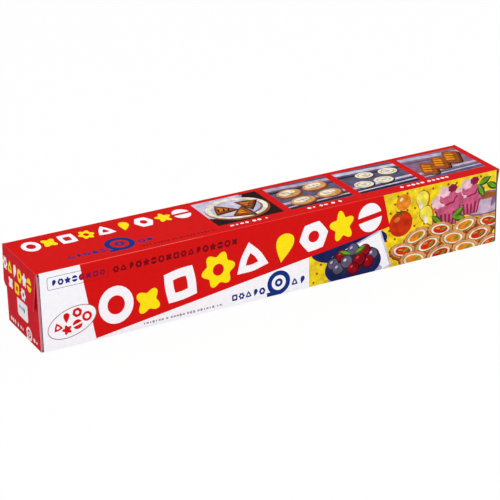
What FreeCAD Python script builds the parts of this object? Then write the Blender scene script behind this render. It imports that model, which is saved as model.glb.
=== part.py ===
import FreeCAD
import Part

import math
import os

# Household foil carton with its roll, lying on its bottom panel. Millimetres.
# X runs along the roll, -Y is the printed front with the cutting flap, +Z is up.
# The origin is at the middle of the footprint, on the surface the carton stands on.

# The foil and the paper core that it is wound on
foil_width = 250.0
foil_length = 5000.0
foil_gauge = 0.012
winding_density = 0.7
winding_clearance = 0.05
turn_groups = 6
turn_stagger = 0.15
core_outer = 32.0
core_wall = 1.3
core_overhang = 1.0
core_chamfer = 0.3

# Free end of the foil, which lifts off the roll
tail_thickness = 0.12
tail_length = 15.0
tail_radius = 27.0
tail_root_angle = 118.0
tail_root_depth = 0.05

# The carton's section over its folds, and the room it leaves the roll
depth = 41.5
height = 41.0
roll_end_clearance = 0.8
roll_seat = 0.05

# The board and its folds
board = 0.5
fold_radius = 0.7
lid_fold_radius = 0.4
hinge_gap = 0.15

# How the lid sits round the body
end_flap_clearance = 0.2
blade_space = 0.75
front_flap_inset = 0.8
front_flap_lift = 0.8
front_flap_corner = 0.8

# Top edges of the body's walls, below the lid's underside
front_wall_drop = 1.2
end_wall_drop = 0.6
dust_flap_drop = 2.0

# Dust flaps glued behind the end walls
dust_flap_reach = 17.0
dust_flap_taper = 4.0
dust_flap_foot = 0.8

# End flaps of the lid, which spring a little away from the body
end_flap_drop = 20.9
end_flap_front_top = 0.7
end_flap_front_foot = 4.8
end_flap_corner = 1.0
end_flap_back_cut = 2.2
end_flap_splay = 1.6

# Toothed steel strip crimped inside the front flap
blade_overhang = 1.0
blade_height = 9.0
blade_thickness = 0.25
tooth_pitch = 1.5
tooth_depth = 1.3
blade_set_back = 0.2
crimp_count = 11
crimp_radius = 1.0
crimp_height = 0.2

# Lengths along the roll, from the foil outwards
core_length = foil_width + 2 * core_overhang
blade_length = foil_width + 2 * blade_overhang
cavity_end_x = core_length / 2 + roll_end_clearance + board
body_end_x = cavity_end_x + board
lid_end_x = body_end_x + end_flap_clearance + board

# Faces and edges that several pieces share
back_y = depth / 2
front_y = -depth / 2
lid_under_z = height - board
body_front_y = front_y + board + blade_space
cavity_front_y = body_front_y + board
cavity_back_y = back_y - board
back_wall_top = lid_under_z - hinge_gap
front_wall_top = lid_under_z - front_wall_drop
end_wall_top = lid_under_z - end_wall_drop
front_flap_end_x = body_end_x - front_flap_inset

# The roll's own sizes and where it rests
core_radius = core_outer / 2
foil_inner_radius = core_radius + winding_clearance
wound_area = foil_length * foil_gauge / winding_density
foil_radius = math.sqrt(foil_inner_radius**2 + wound_area / math.pi)
roll_y = (cavity_front_y + cavity_back_y) / 2
roll_z = board + roll_seat + foil_radius

above = height
past = 1.0


def block(x0, x1, y0, y1, z0, z1):
    """Box between two corners."""
    corner = FreeCAD.Vector(x0, y0, z0)
    return Part.makeBox(x1 - x0, y1 - y0, z1 - z0, corner)


def plate_across_x(outline, x0, thickness):
    """Flat plate whose outline is given as (y, z) points, from x0 towards +X."""
    points = [FreeCAD.Vector(x0, y, z) for y, z in outline]
    face = Part.Face(Part.makePolygon(points + points[:1]))
    return face.extrude(FreeCAD.Vector(thickness, 0, 0))


def plate_across_y(outline, y0, thickness):
    """Flat plate whose outline is given as (x, z) points, from y0 towards +Y."""
    points = [FreeCAD.Vector(x, y0, z) for x, z in outline]
    face = Part.Face(Part.makePolygon(points + points[:1]))
    return face.extrude(FreeCAD.Vector(0, thickness, 0))


def edges_where(shape, wanted):
    """Edges whose middle point and direction pass the given test."""
    found = []
    for edge in shape.Edges:
        first, last = edge.Vertexes[0].Point, edge.Vertexes[-1].Point
        if wanted((first + last) * 0.5, last - first):
            found.append(edge)
    return found


def along(direction, axis):
    """True where a direction runs along the axis with this index."""
    return abs(direction[axis]) > 0.999 * direction.Length


def mirrored_in_x(shape):
    """The same shape at the carton's other end."""
    return shape.mirror(FreeCAD.Vector(0, 0, 0), FreeCAD.Vector(1, 0, 0))


def body_tray():
    """Bottom, front, back and end walls, with the bottom folds rounded."""
    outside = block(-body_end_x, body_end_x, body_front_y, back_y, 0, back_wall_top)
    bottom_edges = edges_where(outside, lambda middle, run: middle.z < fold_radius)
    outside = outside.makeFillet(fold_radius, bottom_edges)
    cavity = block(
        -cavity_end_x, cavity_end_x, cavity_front_y, cavity_back_y, board, above
    )
    inner_radius = fold_radius - board
    long_edges = edges_where(
        cavity, lambda middle, run: middle.z < 2 * board and along(run, 0)
    )
    return outside.cut(cavity.makeFillet(inner_radius, long_edges))


def wall_trims():
    """What is cut off above the front wall and above the two end walls."""
    front = block(
        -body_end_x - past,
        body_end_x + past,
        front_y,
        cavity_front_y,
        front_wall_top,
        above,
    )
    left = block(
        -body_end_x - past,
        board - body_end_x,
        front_y,
        back_y + past,
        end_wall_top,
        above,
    )
    return [front, left, mirrored_in_x(left)]


def fold_groove(outer_y, into_body):
    """Groove where a dust flap's rounded fold meets the end wall's cut edge."""
    fold_x = board - body_end_x
    axis_x = fold_x + fold_radius
    axis_y = outer_y + into_body * fold_radius
    corner = block(
        fold_x,
        axis_x,
        min(outer_y, axis_y),
        max(outer_y, axis_y),
        fold_radius,
        above,
    )
    bend = Part.makeCylinder(
        fold_radius,
        above,
        FreeCAD.Vector(axis_x, axis_y, 0),
        FreeCAD.Vector(0, 0, 1),
    )
    return corner.cut(bend)


def dust_flap(fold_y, into_body):
    """Tapered flap folded in from the front or back wall, at the left end."""
    tip_y = fold_y + into_body * dust_flap_reach
    foot = board + dust_flap_foot
    top = lid_under_z - dust_flap_drop
    outline = [
        (fold_y, foot),
        (tip_y, foot + dust_flap_taper),
        (tip_y, top - dust_flap_taper),
        (fold_y, top),
    ]
    return plate_across_x(outline, board - body_end_x, board)


def carton_body():
    """The glued tray of the blank: bottom, three walls, end walls, dust flaps."""
    body = body_tray()
    left_flaps = [dust_flap(cavity_front_y, 1), dust_flap(cavity_back_y, -1)]
    for flap in left_flaps:
        body = body.fuse([flap, mirrored_in_x(flap)])
    grooves = [fold_groove(body_front_y, 1), fold_groove(back_y, -1)]
    grooves += [mirrored_in_x(groove) for groove in grooves]
    return body.cut(grooves + wall_trims()).removeSplitter()


def lid_top():
    """Top panel, rounded along the four edges where the blank folds."""
    panel = block(-lid_end_x, lid_end_x, front_y, back_y, lid_under_z, height)
    upper = edges_where(panel, lambda middle, run: middle.z > lid_under_z + board / 2)
    rims = [edge for edge in upper if not along(edge.tangentAt(0), 2)]
    return panel.makeFillet(lid_fold_radius, rims)


def lid_front_flap():
    """Front panel of the lid, which hangs in front of the body's front wall."""
    flap = block(
        -front_flap_end_x,
        front_flap_end_x,
        front_y,
        front_y + board,
        front_flap_lift,
        back_wall_top,
    )
    corners = edges_where(
        flap,
        lambda middle, run: along(run, 1) and middle.z < front_flap_lift + board,
    )
    return flap.makeFillet(front_flap_corner, corners)


def lid_end_flap():
    """Tapered flap over the left end, splayed outwards about its fold."""
    foot_z = height - end_flap_drop
    outline = [
        (back_y, back_wall_top),
        (back_y, foot_z + end_flap_back_cut),
        (back_y - end_flap_back_cut, foot_z),
        (front_y + end_flap_front_foot, foot_z),
        (front_y + end_flap_front_top, back_wall_top),
    ]
    flap = plate_across_x(outline, -lid_end_x, board)
    lower_corners = edges_where(
        flap, lambda middle, run: along(run, 0) and middle.z < foot_z + board
    )
    flap = flap.makeFillet(end_flap_corner, lower_corners)
    flap.rotate(
        FreeCAD.Vector(-lid_end_x, 0, height), FreeCAD.Vector(0, 1, 0), end_flap_splay
    )
    return flap


def tooth_line():
    """Outline of the blade: a straight back and a row of pointed teeth."""
    tooth_count = int(round(blade_length / tooth_pitch))
    half = tooth_count * tooth_pitch / 2
    tip_z = front_flap_lift + blade_set_back
    root_z = tip_z + tooth_depth
    outline = [(half, tip_z + blade_height), (-half, tip_z + blade_height)]
    for tooth in range(tooth_count):
        start = tooth * tooth_pitch - half
        outline.append((start, root_z))
        outline.append((start + tooth_pitch / 2, tip_z))
    outline.append((half, root_z))
    return outline


def cutter_blade():
    """Thin steel saw strip with the crimp points that hold it to the flap."""
    blade_y = front_y + board
    strip = plate_across_y(tooth_line(), blade_y, blade_thickness)
    crimp_z = front_flap_lift + blade_set_back + (blade_height + tooth_depth) / 2
    spacing = blade_length / crimp_count
    for crimp in range(crimp_count):
        crimp_x = (crimp + 0.5) * spacing - blade_length / 2
        dimple = Part.makeCone(
            crimp_radius,
            crimp_radius / 2,
            crimp_height,
            FreeCAD.Vector(crimp_x, blade_y + blade_thickness, crimp_z),
            FreeCAD.Vector(0, 1, 0),
        )
        strip = strip.fuse(dimple)
    return strip


def revolved(outline):
    """Solid turned about the roll's axis, from (x, radius) points."""
    points = [FreeCAD.Vector(x, roll_y, roll_z + radius) for x, radius in outline]
    face = Part.Face(Part.makePolygon(points + points[:1]))
    axis_point = FreeCAD.Vector(0, roll_y, roll_z)
    return face.revolve(axis_point, FreeCAD.Vector(1, 0, 0), 360)


def core_tube():
    """Paper tube that the foil is wound on."""
    half = core_length / 2
    bore = core_radius - core_wall
    return revolved(
        [
            (-half, bore),
            (-half, core_radius - core_chamfer),
            (core_chamfer - half, core_radius),
            (half - core_chamfer, core_radius),
            (half, core_radius - core_chamfer),
            (half, bore),
        ]
    )


def wound_end():
    """Left end of the winding: groups of turns that stand in and out in steps."""
    build = foil_radius - foil_inner_radius
    points = []
    for group in range(turn_groups):
        shift = turn_stagger if group % 2 else 0.0
        x = shift - foil_width / 2
        points.append((x, foil_inner_radius + build * group / turn_groups))
        points.append((x, foil_inner_radius + build * (group + 1) / turn_groups))
    return points


def foil_tail():
    """Free end of the foil, leaving the roll on a wider curve over the front."""
    angle = math.radians(tail_root_angle)
    outward_y, outward_z = math.cos(angle), math.sin(angle)
    inner = tail_radius - tail_root_depth
    back_off = tail_radius - foil_radius
    centre_y = roll_y - back_off * outward_y
    centre_z = roll_z - back_off * outward_z
    sweep = tail_length / tail_radius

    def on_arc(radius, turn):
        y = centre_y + radius * math.cos(angle + turn)
        z = centre_z + radius * math.sin(angle + turn)
        return FreeCAD.Vector(-foil_width / 2, y, z)

    outer = inner + tail_thickness
    outline = [
        Part.Arc(on_arc(inner, 0), on_arc(inner, sweep / 2), on_arc(inner, sweep)),
        Part.LineSegment(on_arc(inner, sweep), on_arc(outer, sweep)),
        Part.Arc(on_arc(outer, sweep), on_arc(outer, sweep / 2), on_arc(outer, 0)),
        Part.LineSegment(on_arc(outer, 0), on_arc(inner, 0)),
    ]
    wire = Part.Wire([piece.toShape() for piece in outline])
    return Part.Face(wire).extrude(FreeCAD.Vector(foil_width, 0, 0))


def foil_roll():
    """All the turns of foil as one solid, with the free end lifted."""
    left = wound_end()
    right = [(-x, radius) for x, radius in reversed(left)]
    return revolved(left + right).fuse(foil_tail()).removeSplitter()


def main():
    left_flap = lid_end_flap()
    pieces = {
        "carton_body": carton_body(),
        "lid_top": lid_top(),
        "lid_front_flap": lid_front_flap(),
        "lid_end_flap_left": left_flap,
        "lid_end_flap_right": mirrored_in_x(left_flap),
        "cutter_blade": cutter_blade(),
        "core_tube": core_tube(),
        "foil_roll": foil_roll(),
    }
    os.makedirs("parts", exist_ok=True)
    for name, shape in pieces.items():
        box = shape.BoundBox
        print(
            f"{name}: {len(shape.Solids)} solid, valid {shape.isValid()}, "
            f"{shape.Volume:.1f} mm3, "
            f"x {box.XMin:.2f} {box.XMax:.2f}, y {box.YMin:.2f} {box.YMax:.2f}, "
            f"z {box.ZMin:.2f} {box.ZMax:.2f}"
        )
        shape.exportStep(f"parts/{name}.step")


main()
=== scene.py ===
import math
import random

import bmesh
import bpy
from mathutils import Matrix, Vector, noise
from mathutils.geometry import delaunay_2d_cdt


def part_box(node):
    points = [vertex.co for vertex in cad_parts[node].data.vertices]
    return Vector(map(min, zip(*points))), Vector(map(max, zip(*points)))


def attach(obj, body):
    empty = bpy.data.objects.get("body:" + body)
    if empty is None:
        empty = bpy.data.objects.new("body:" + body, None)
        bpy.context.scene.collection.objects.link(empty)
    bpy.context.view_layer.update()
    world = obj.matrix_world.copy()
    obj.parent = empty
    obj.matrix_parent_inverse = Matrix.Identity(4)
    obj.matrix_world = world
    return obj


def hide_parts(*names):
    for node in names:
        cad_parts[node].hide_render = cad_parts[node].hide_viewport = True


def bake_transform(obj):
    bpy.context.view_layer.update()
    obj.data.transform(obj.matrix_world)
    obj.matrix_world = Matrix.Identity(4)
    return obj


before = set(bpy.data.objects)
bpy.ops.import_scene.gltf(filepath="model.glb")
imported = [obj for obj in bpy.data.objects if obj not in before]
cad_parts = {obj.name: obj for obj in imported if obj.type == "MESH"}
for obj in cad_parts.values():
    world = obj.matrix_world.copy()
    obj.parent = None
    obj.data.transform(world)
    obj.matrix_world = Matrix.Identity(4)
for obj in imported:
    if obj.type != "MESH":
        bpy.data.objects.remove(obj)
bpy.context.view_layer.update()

# Printed foil carton. Sizes are in millimetres until a mesh is made in metres.
MM = 0.001


def box_mm(node):
    """Lowest and highest corner of a node in millimetres."""
    low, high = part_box(node)
    return low / MM, high / MM


lid_low, lid_high = box_mm("lid_top")
flap_low, flap_high = box_mm("lid_front_flap")
body_low, body_high = box_mm("carton_body")
core_low, core_high = box_mm("core_tube")
foil_low, foil_high = box_mm("foil_roll")

# The lid's outer fold lines and the body's outer faces
end_x = lid_high.x
back_y = lid_high.y
front_y = lid_low.y
top_z = lid_high.z
board = lid_high.z - lid_low.z
length = 2 * end_x
depth = back_y - front_y
flap_end_x = flap_high.x
flap_foot = top_z - flap_low.z
body_end_x = body_high.x
body_front_y = body_low.y

# The blank's creases, cuts and the heights at which its walls end
CREASE_RADIUS = 0.6
BODY_CREASE_RADIUS = 0.7
CREASE_STEPS = 6
CREASE_ZONE = CREASE_RADIUS + board
FRONT_WALL_TOP = 39.3
END_WALL_TOP = 39.9
DUST_FLAP_REACH = 17.5
DUST_FLAP_FOOT = 1.3
DUST_FLAP_TOP = 38.5
DUST_FLAP_TAPER = 4.0
FLAP_CORNER = 0.8
RELIEF_RADIUS = 0.5
RELIEF_STEPS = 8
CORNER_STEPS = 4
LID_CREASE = (0.28, 0.02)
END_FLAP_SPLAY = 1.6
END_FLAP_DROP = 20.9
END_FLAP_FRONT_TOP = 0.7
END_FLAP_FRONT_FOOT = 4.8
END_FLAP_BACK_CUT = 2.2
END_FLAP_CORNER = 1.0
GRID_STEP = 6.0
PANEL_DENT = 0.1
DENT_WAVES = 9
FLAP_DENT_SHARE = 0.7
CUT_GAP = 0.05
MERGE_BELOW = 1e-4
BACK_STRIP_COLUMNS = 40

# Inks and bare board, as they look in plain light. Some paint light and shade: a cooler red is
# painted shade on the ends, the lighter crease strips are painted highlights along the folds
# (partly cracked ink), a dark grey is painted shadow beside the front flap, and a darker board edge
# is painted shade.
PLAIN_INKS = {
    "red": (213, 22, 22), "end_red": (214, 6, 28), "red_line": (188, 18, 30),
    "crease_red": (246, 122, 114), "crease_soft": (232, 78, 70), "crease_pale": (252, 180, 194),
    "white": (249, 248, 254), "yellow": (255, 228, 24), "navy": (24, 50, 126),
    "maroon": (112, 16, 26), "plum": (122, 24, 66), "line_grey": (150, 140, 160),
    "edge_grey": (82, 76, 84), "badge_line": (150, 96, 70),
}
PICTURE_INKS = {
    "cloth": (252, 212, 34), "cloth_dot": (170, 70, 24), "cloth_pale": (253, 226, 110),
    "dish_blue": (30, 38, 92), "dish_light": (206, 200, 222), "berry": (150, 16, 28),
    "berry_dark": (84, 10, 30), "berry_light": (214, 70, 66), "leaf": (108, 158, 44),
    "leaf_dark": (44, 88, 32), "tomato": (206, 52, 22), "tomato_light": (238, 132, 60),
    "orange": (236, 140, 34), "lemon": (255, 228, 72), "lemon_shade": (196, 126, 14),
    "pink": (206, 92, 130), "pink_light": (240, 196, 210), "pink_dark": (142, 34, 74),
    "lilac": (198, 174, 196), "lilac_dark": (142, 108, 136), "steel": (96, 90, 118),
    "steel_light": (186, 182, 204), "steel_dark": (46, 42, 60), "char": (44, 26, 26),
    "cream": (246, 236, 214), "toast": (220, 160, 98), "toast_dark": (158, 84, 38),
    "crust": (118, 56, 18),
}
RAW_EDGES = {
    "cut_edge": (222, 206, 208), "stained_edge": (226, 82, 98), "pale_edge": (250, 168, 182),
    "shaded_grey_edge": (76, 70, 78),
}
RAW_INSIDE = (198, 190, 178)
CORE_BROWN = (186, 146, 102)


def linear(colour):
    """Scene colour of an ink that is given from 0 to 255."""
    values = []
    for channel in colour:
        share = channel / 255
        low = share <= 0.04045
        values.append(share / 12.92 if low else ((share + 0.055) / 1.055) ** 2.4)
    return values


# Flat outlines


def polar(radius_at, steps):
    """Closed outline round the origin, from its radius at each angle."""
    outline = []
    for step in range(steps):
        angle = 2 * math.pi * step / steps
        radius = radius_at(angle)
        outline.append((radius * math.cos(angle), radius * math.sin(angle)))
    return outline


def placed(outline, u, v, wide=1.0, high=1.0, turn=0.0):
    """An outline scaled, turned by degrees and moved to (u, v)."""
    cos, sin = math.cos(math.radians(turn)), math.sin(math.radians(turn))
    moved = []
    for a, b in outline:
        a, b = a * wide, b * high
        moved.append((u + a * cos - b * sin, v + a * sin + b * cos))
    return moved


def oval(u, v, wide, high, turn=0.0, steps=24):
    """Oval of these half sizes."""
    return placed(polar(lambda angle: 1.0, steps), u, v, wide, high, turn)


def box(u0, v0, u1, v1):
    """Upright rectangle between two corners."""
    return [(u0, v0), (u1, v0), (u1, v1), (u0, v1)]


def round_box(u0, v0, u1, v1, radius, steps=4):
    """Rectangle with rounded corners."""
    outline = []
    corners = [
        (u1 - radius, v1 - radius), (u0 + radius, v1 - radius), (u0 + radius, v0 + radius),
        (u1 - radius, v0 + radius),
    ]
    for quarter, (u, v) in enumerate(corners):
        for step in range(steps + 1):
            angle = math.pi / 2 * (quarter + step / steps)
            outline.append((u + radius * math.cos(angle), v + radius * math.sin(angle)))
    return outline


def soft_polygon(sides, softness, steps=36):
    """Polygon of unit radius whose corners are rounded by softness, from 0 to 1."""
    sector = 2 * math.pi / sides

    def radius_at(angle):
        within = (angle % sector) - sector / 2
        straight = math.cos(sector / 2) / math.cos(within)
        return straight * (1 - softness) + softness * (1 + math.cos(sector / 2)) / 2

    return polar(radius_at, steps)


def petals(count, swing, steps=60):
    """Rosette of unit radius with this many lobes."""
    return polar(lambda angle: 1 - swing + swing * math.cos(count * angle), steps)


def leaf(u, v, long, wide, turn):
    """Pointed leaf of this length and width."""
    outline = []
    steps = 8
    for side in (1, -1):
        for step in range(steps):
            along = step / steps if side == 1 else 1 - step / steps
            outline.append((along - 0.5, side * math.sin(math.pi * along) / 2))
    return placed(outline, u, v, long, wide, turn)


def drop(u, v, size, turn):
    """Rounded drop with one pointed end."""
    outline = []
    steps = 28
    for step in range(steps):
        angle = 2 * math.pi * step / steps
        pinch = math.sin(angle / 2) ** 1.4
        outline.append((math.cos(angle) * 0.5, math.sin(angle) * pinch * 0.42))
    return placed(outline, u, v, size, size, turn)


# Rows of plain motifs, each made of layers that are ink or ground


def open_polygon(sides, softness, v, outer, inner, turn):
    """Soft polygon with a smaller one left open in it."""
    shape = soft_polygon(sides, softness)
    solid = placed(shape, 0, v, outer, outer, turn)
    return [(True, solid), (False, placed(shape, 0, v, inner, inner, turn))]


DISC = oval(0, 0, 0.5, 0.5)
RING = [(True, DISC), (False, oval(0, 0, 0.25, 0.25))]
CLOVER = [(True, placed(petals(4, 0.2), 0, 0, 0.52, 0.52, 45))]
SQUARE = open_polygon(4, 0.2, 0, 0.6, 0.27, 45)
FLOWER = [(True, placed(petals(6, 0.14), 0, 0, 0.52, 0.52)), (False, oval(0, 0, 0.17, 0.17))]
TRIANGLE = open_polygon(3, 0.25, 0.06, 0.6, 0.24, 30)
DROP = [(True, drop(0, 0, 1.05, 110))]
NUT = placed(soft_polygon(6, 0.15), 0, 0, 0.54, 0.54)
HEXAGON = [(True, NUT), (False, oval(0, 0, 0.2, 0.2))]
STAR = [(True, placed(petals(5, 0.2), 0, 0, 0.54, 0.54, -18))]
HALVES = [(True, DISC), (False, box(-0.6, -0.09, 0.6, 0.09))]
MOTIFS = [RING, CLOVER, SQUARE, FLOWER, TRIANGLE, DROP, HEXAGON, STAR, HALVES]
TINY_MARKS = [
    oval(0, 0, 1, 0.75, 0, 10), oval(0, 0, 0.6, 0.5, 0, 10), [(0, -0.9), (1, 0), (0, 0.9), (-1, 0)],
    box(-0.9, -0.45, 0.9, 0.45),
]
TINY_GAPS = (1.0, 1.0, 1.0, 1.5)
MOTIF_SHARE = (0.86, 0.96)
MARK_SHARE = 0.4


def motif_row(cells, ground, start=0, turn=0.0):
    """Layers of a row of motifs. A cell is its middle, width, height and ink."""
    layers = []
    for number, (u, v, wide, high, ink) in enumerate(cells):
        for inked, outline in MOTIFS[(start + number) % len(MOTIFS)]:
            shape = placed(outline, 0, 0, wide, high)
            layers.append((ink if inked else ground, placed(shape, u, v, turn=turn)))
    return layers


def small_print(u0, v0, u1, v1, ink, pitch, seed):
    """Row of tiny plain marks in place of a line of small print."""
    draw = random.Random(seed)
    half = abs(v1 - v0) / 2
    v = (v0 + v1) / 2
    wide = pitch * MARK_SHARE
    layers = []
    u = u0 + pitch / 2
    while u < u1 - wide:
        layers.append((ink, placed(draw.choice(TINY_MARKS), u, v, wide, half)))
        u += pitch * draw.choice(TINY_GAPS)
    return layers


def tiny_motifs(u0, u1, v, size, ink, ground, start):
    """Row of small motifs in place of a line of larger print."""
    count = max(1, round((u1 - u0) / size))
    pitch = (u1 - u0) / count
    cells = []
    for number in range(count):
        middle = u0 + pitch * (number + 0.5)
        cells.append((middle, v, size * MOTIF_SHARE[0], size * MOTIF_SHARE[1], ink))
    return motif_row(cells, ground, start)


# Folding


def bent(across, height, radius, angle):
    """Where a point of the flat board goes, across and above a fold's outer line."""
    reach = radius * math.tan(angle / 2)
    if across <= -reach:
        return across, height
    if across >= reach:
        cos, sin = math.cos(angle), math.sin(angle)
        return across * cos + height * sin, height * cos - across * sin
    turn = angle * (across + reach) / (2 * reach)
    lever = radius + height
    return lever * math.sin(turn) - reach, lever * math.cos(turn) - radius


def dent(share_u, share_v):
    """How far a panel lies below its folds, from the place on it as shares."""
    inside = 0.0 < share_v < 1.0
    across = math.sin(math.pi * share_v) ** 2 if inside else 0.0
    return PANEL_DENT * across * (0.75 + 0.25 * math.sin(DENT_WAVES * share_u))


def fold_lid(u, v, height):
    """Top panel and front flap. u runs from the left end and v from the back fold."""
    x = u - end_x
    if v < depth:
        height -= dent(u / length, v / depth)
    else:
        height -= dent(u / length, (v - depth) / (flap_foot * FLAP_DENT_SHARE))
    past, above = bent(v - depth, height, CREASE_RADIUS, math.pi / 2)
    return Vector((x, front_y - past, top_z + above))


def fold_end_flap(side):
    """End flap, at the left for side -1. u runs from the back and v down from the fold."""

    def fold(u, v, height):
        angle = math.radians(90 - END_FLAP_SPLAY)
        past, above = bent(v, height, CREASE_RADIUS, angle)
        return Vector((side * (end_x + past), back_y - u, top_z + above))

    return fold


def fold_back_strip(u, v, height):
    """Strip over the lid's hinge. v runs down from the fold's outer line."""
    past, above = bent(v, height, CREASE_RADIUS, math.pi / 2)
    return Vector((u - end_x, back_y + past, top_z + above))


def fold_body(u, v, height):
    """Tray. u is x and v is y on the bottom, and both run on over its folds."""
    side = 1 if u > 0 else -1
    past_front = body_front_y - v
    past_back = v - back_y
    in_wall = max(past_front, past_back) > BODY_CREASE_RADIUS
    end = body_end_x - board if in_wall else body_end_x
    past, above = bent(abs(u) - end, height, BODY_CREASE_RADIUS, math.pi / 2)
    x = side * (end + past)
    if abs(u) > body_end_x - BODY_CREASE_RADIUS and not in_wall:
        return Vector((x, v, -above))
    if past_front > past_back:
        past, above = bent(past_front, above, BODY_CREASE_RADIUS, math.pi / 2)
        return Vector((x, body_front_y - past, -above))
    past, above = bent(past_back, above, BODY_CREASE_RADIUS, math.pi / 2)
    return Vector((x, back_y + past, -above))


class Blank:
    """A flat cut piece of board with what is printed on it."""

    def __init__(self, outline, ink):
        self.points = []
        self.lines = []
        self.shapes = []
        self.inks = []
        self.add(ink, outline)

    def add(self, ink, outline):
        """Prints one shape over what is there."""
        area = 0.0
        for (u0, v0), (u1, v1) in zip(outline, outline[1:] + outline[:1]):
            area += u0 * v1 - u1 * v0
        ordered = list(outline) if area > 0 else list(reversed(outline))
        first = len(self.points)
        self.points += ordered
        self.shapes.append(list(range(first, len(self.points))))
        self.inks.append(ink)

    def add_all(self, layers, move=(0.0, 0.0)):
        """Prints layers, each an ink and an outline, moved by (u, v)."""
        for ink, outline in layers:
            self.add(ink, [(u + move[0], v + move[1]) for u, v in outline])

    def line(self, start, end):
        """A line that triangles don't cross."""
        first = len(self.points)
        self.points += [start, end]
        self.lines.append((first, first + 1))

    def grid(self, u0, v0, u1, v1):
        """Points spread over a panel, so that it can bow."""
        columns = max(1, round((u1 - u0) / GRID_STEP))
        rows = max(1, round((v1 - v0) / GRID_STEP))
        for column in range(1, columns):
            for row in range(1, rows):
                u = u0 + (u1 - u0) * column / columns
                v = v0 + (v1 - v0) * row / rows
                self.points.append((u, v))

    def triangles(self):
        """Points, triangles and their inks, the last printed shape on top."""
        flat = [Vector(point) for point in self.points]
        made = delaunay_2d_cdt(flat, self.lines, self.shapes, 1, MERGE_BELOW)
        points, faces, sources = made[0], made[2], made[5]
        kept = []
        for face, source in zip(faces, sources):
            if 0 in source:
                kept.append((face, self.inks[max(source)]))
        return points, kept


def across_crease(blank, crease, radius, start, end, upright=False):
    """Lines of the blank along a fold and its inner face, so that the fold is round."""
    places = [radius * (2 * step / CREASE_STEPS - 1) for step in range(CREASE_STEPS + 1)]
    places += [side * (radius + board * share) for side in (-1, 1) for share in (0.5, 1)]
    for place in places:
        place += crease
        if upright:
            blank.line((place, start), (place, end))
        else:
            blank.line((start, place), (end, place))


# Surfaces. Noise scales are in waves per metre and reliefs are depths in metres.

ALL_WAYS = (1.0, 1.0, 1.0)
PLAIN_MOTTLE = (0.04, 700.0)
PICTURE_MOTTLE = (0.34, 300.0)
GLOSS_PATCHES = 220.0
INK_GLOSS = (0.30, 0.42)
INK_SHEEN = 0.008
INK_FIBRES = 2600.0
INK_RELIEF = 0.000012
BOARD_SPECKS = 1800.0
BOARD_TONES = (0.82, 1.08)
BOARD_ROUGH = 0.85
BOARD_FIBRES = 1500.0
BOARD_RELIEF = 0.00004
INSIDE_FIBRE = (0.25, 1.0, 1.0)
BARE_SHEEN = 0.2
SHEEN = "Specular IOR Level"


def fill(tree, node, inputs):
    """Gives a node's inputs plain values or links."""
    for name, value in inputs.items():
        if isinstance(value, bpy.types.NodeSocket):
            tree.links.new(value, node.inputs[name])
        else:
            node.inputs[name].default_value = value


def add_node(tree, kind, inputs, output, **settings):
    """New node with these inputs and settings, and the output of it that is used."""
    node = tree.nodes.new("ShaderNode" + kind)
    for name, value in settings.items():
        setattr(node, name, value)
    fill(tree, node, inputs)
    return node.outputs[output]


def add_noise(tree, scale, detail, stretch=ALL_WAYS):
    """Noise in the object's own metres, stretched along its axes."""
    place = add_node(tree, "TexCoord", {}, "Object")
    place = add_node(tree, "Mapping", {"Vector": place, "Scale": stretch}, "Vector")
    return add_node(tree, "TexNoise", {"Vector": place, "Scale": scale, "Detail": detail}, "Fac")


def add_range(tree, source, low=0.0, high=1.0, start=0.3, end=0.7):
    """A value from low to high as the source goes from start to end."""
    inputs = {"Value": source, "From Min": start, "From Max": end, "To Min": low, "To Max": high}
    return add_node(tree, "MapRange", inputs, "Result")


def add_mix(tree, share, first, second):
    """Colour between two, by a value from 0 to 1."""
    inputs = {"Factor": share, "A": first, "B": second}
    return add_node(tree, "Mix", inputs, "Result", data_type="RGBA")


def add_math(tree, operation, *values):
    """One sum on one to three values or sockets."""
    return add_node(tree, "Math", dict(enumerate(values)), "Value", operation=operation)


def shaded(colour, factor):
    """A linear colour made lighter or darker, with its alpha."""
    return [*(min(1.0, channel * factor) for channel in colour), 1.0]


def toned(tree, colour, source, tones):
    """A linear colour that goes from one tone to another with the source."""
    ends = [shaded(colour, tone) for tone in tones]
    return add_mix(tree, add_range(tree, source), *ends)


def new_material(name):
    """Material with its node tree."""
    material = bpy.data.materials.new(name)
    material.use_nodes = True
    return material, material.node_tree


def dress(tree, colour, rough, height, relief, other, amount):
    """Fills a material's main shader, with a relief of this depth and one other input."""
    normal = add_node(tree, "Bump", {"Height": height, "Distance": relief}, "Normal")
    inputs = {"Base Color": colour, "Roughness": rough, "Normal": normal, other: amount}
    fill(tree, tree.nodes["Principled BSDF"], inputs)


def ink_material(name, colour, mottle, grain):
    """Varnished print on board: slight mottle, fibre relief and uneven gloss."""
    material, tree = new_material(name)
    tones = (1 - mottle, 1 + mottle / 2)
    tinted = toned(tree, linear(colour), add_noise(tree, grain, 6.0), tones)
    gloss = add_range(tree, add_noise(tree, GLOSS_PATCHES, 3.0), *INK_GLOSS)
    fibres = add_noise(tree, INK_FIBRES, 3.0)
    dress(tree, tinted, gloss, fibres, INK_RELIEF, SHEEN, INK_SHEEN)
    return material


def bare_board(name, colour, fibre=ALL_WAYS):
    """Uncoated board: matt, with fibres and specks."""
    material, tree = new_material(name)
    specks = add_noise(tree, BOARD_SPECKS, 5.0, fibre)
    tinted = toned(tree, linear(colour), specks, BOARD_TONES)
    fibres = add_noise(tree, BOARD_FIBRES, 4.0, fibre)
    dress(tree, tinted, BOARD_ROUGH, fibres, BOARD_RELIEF, SHEEN, BARE_SHEEN)
    return material


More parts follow.
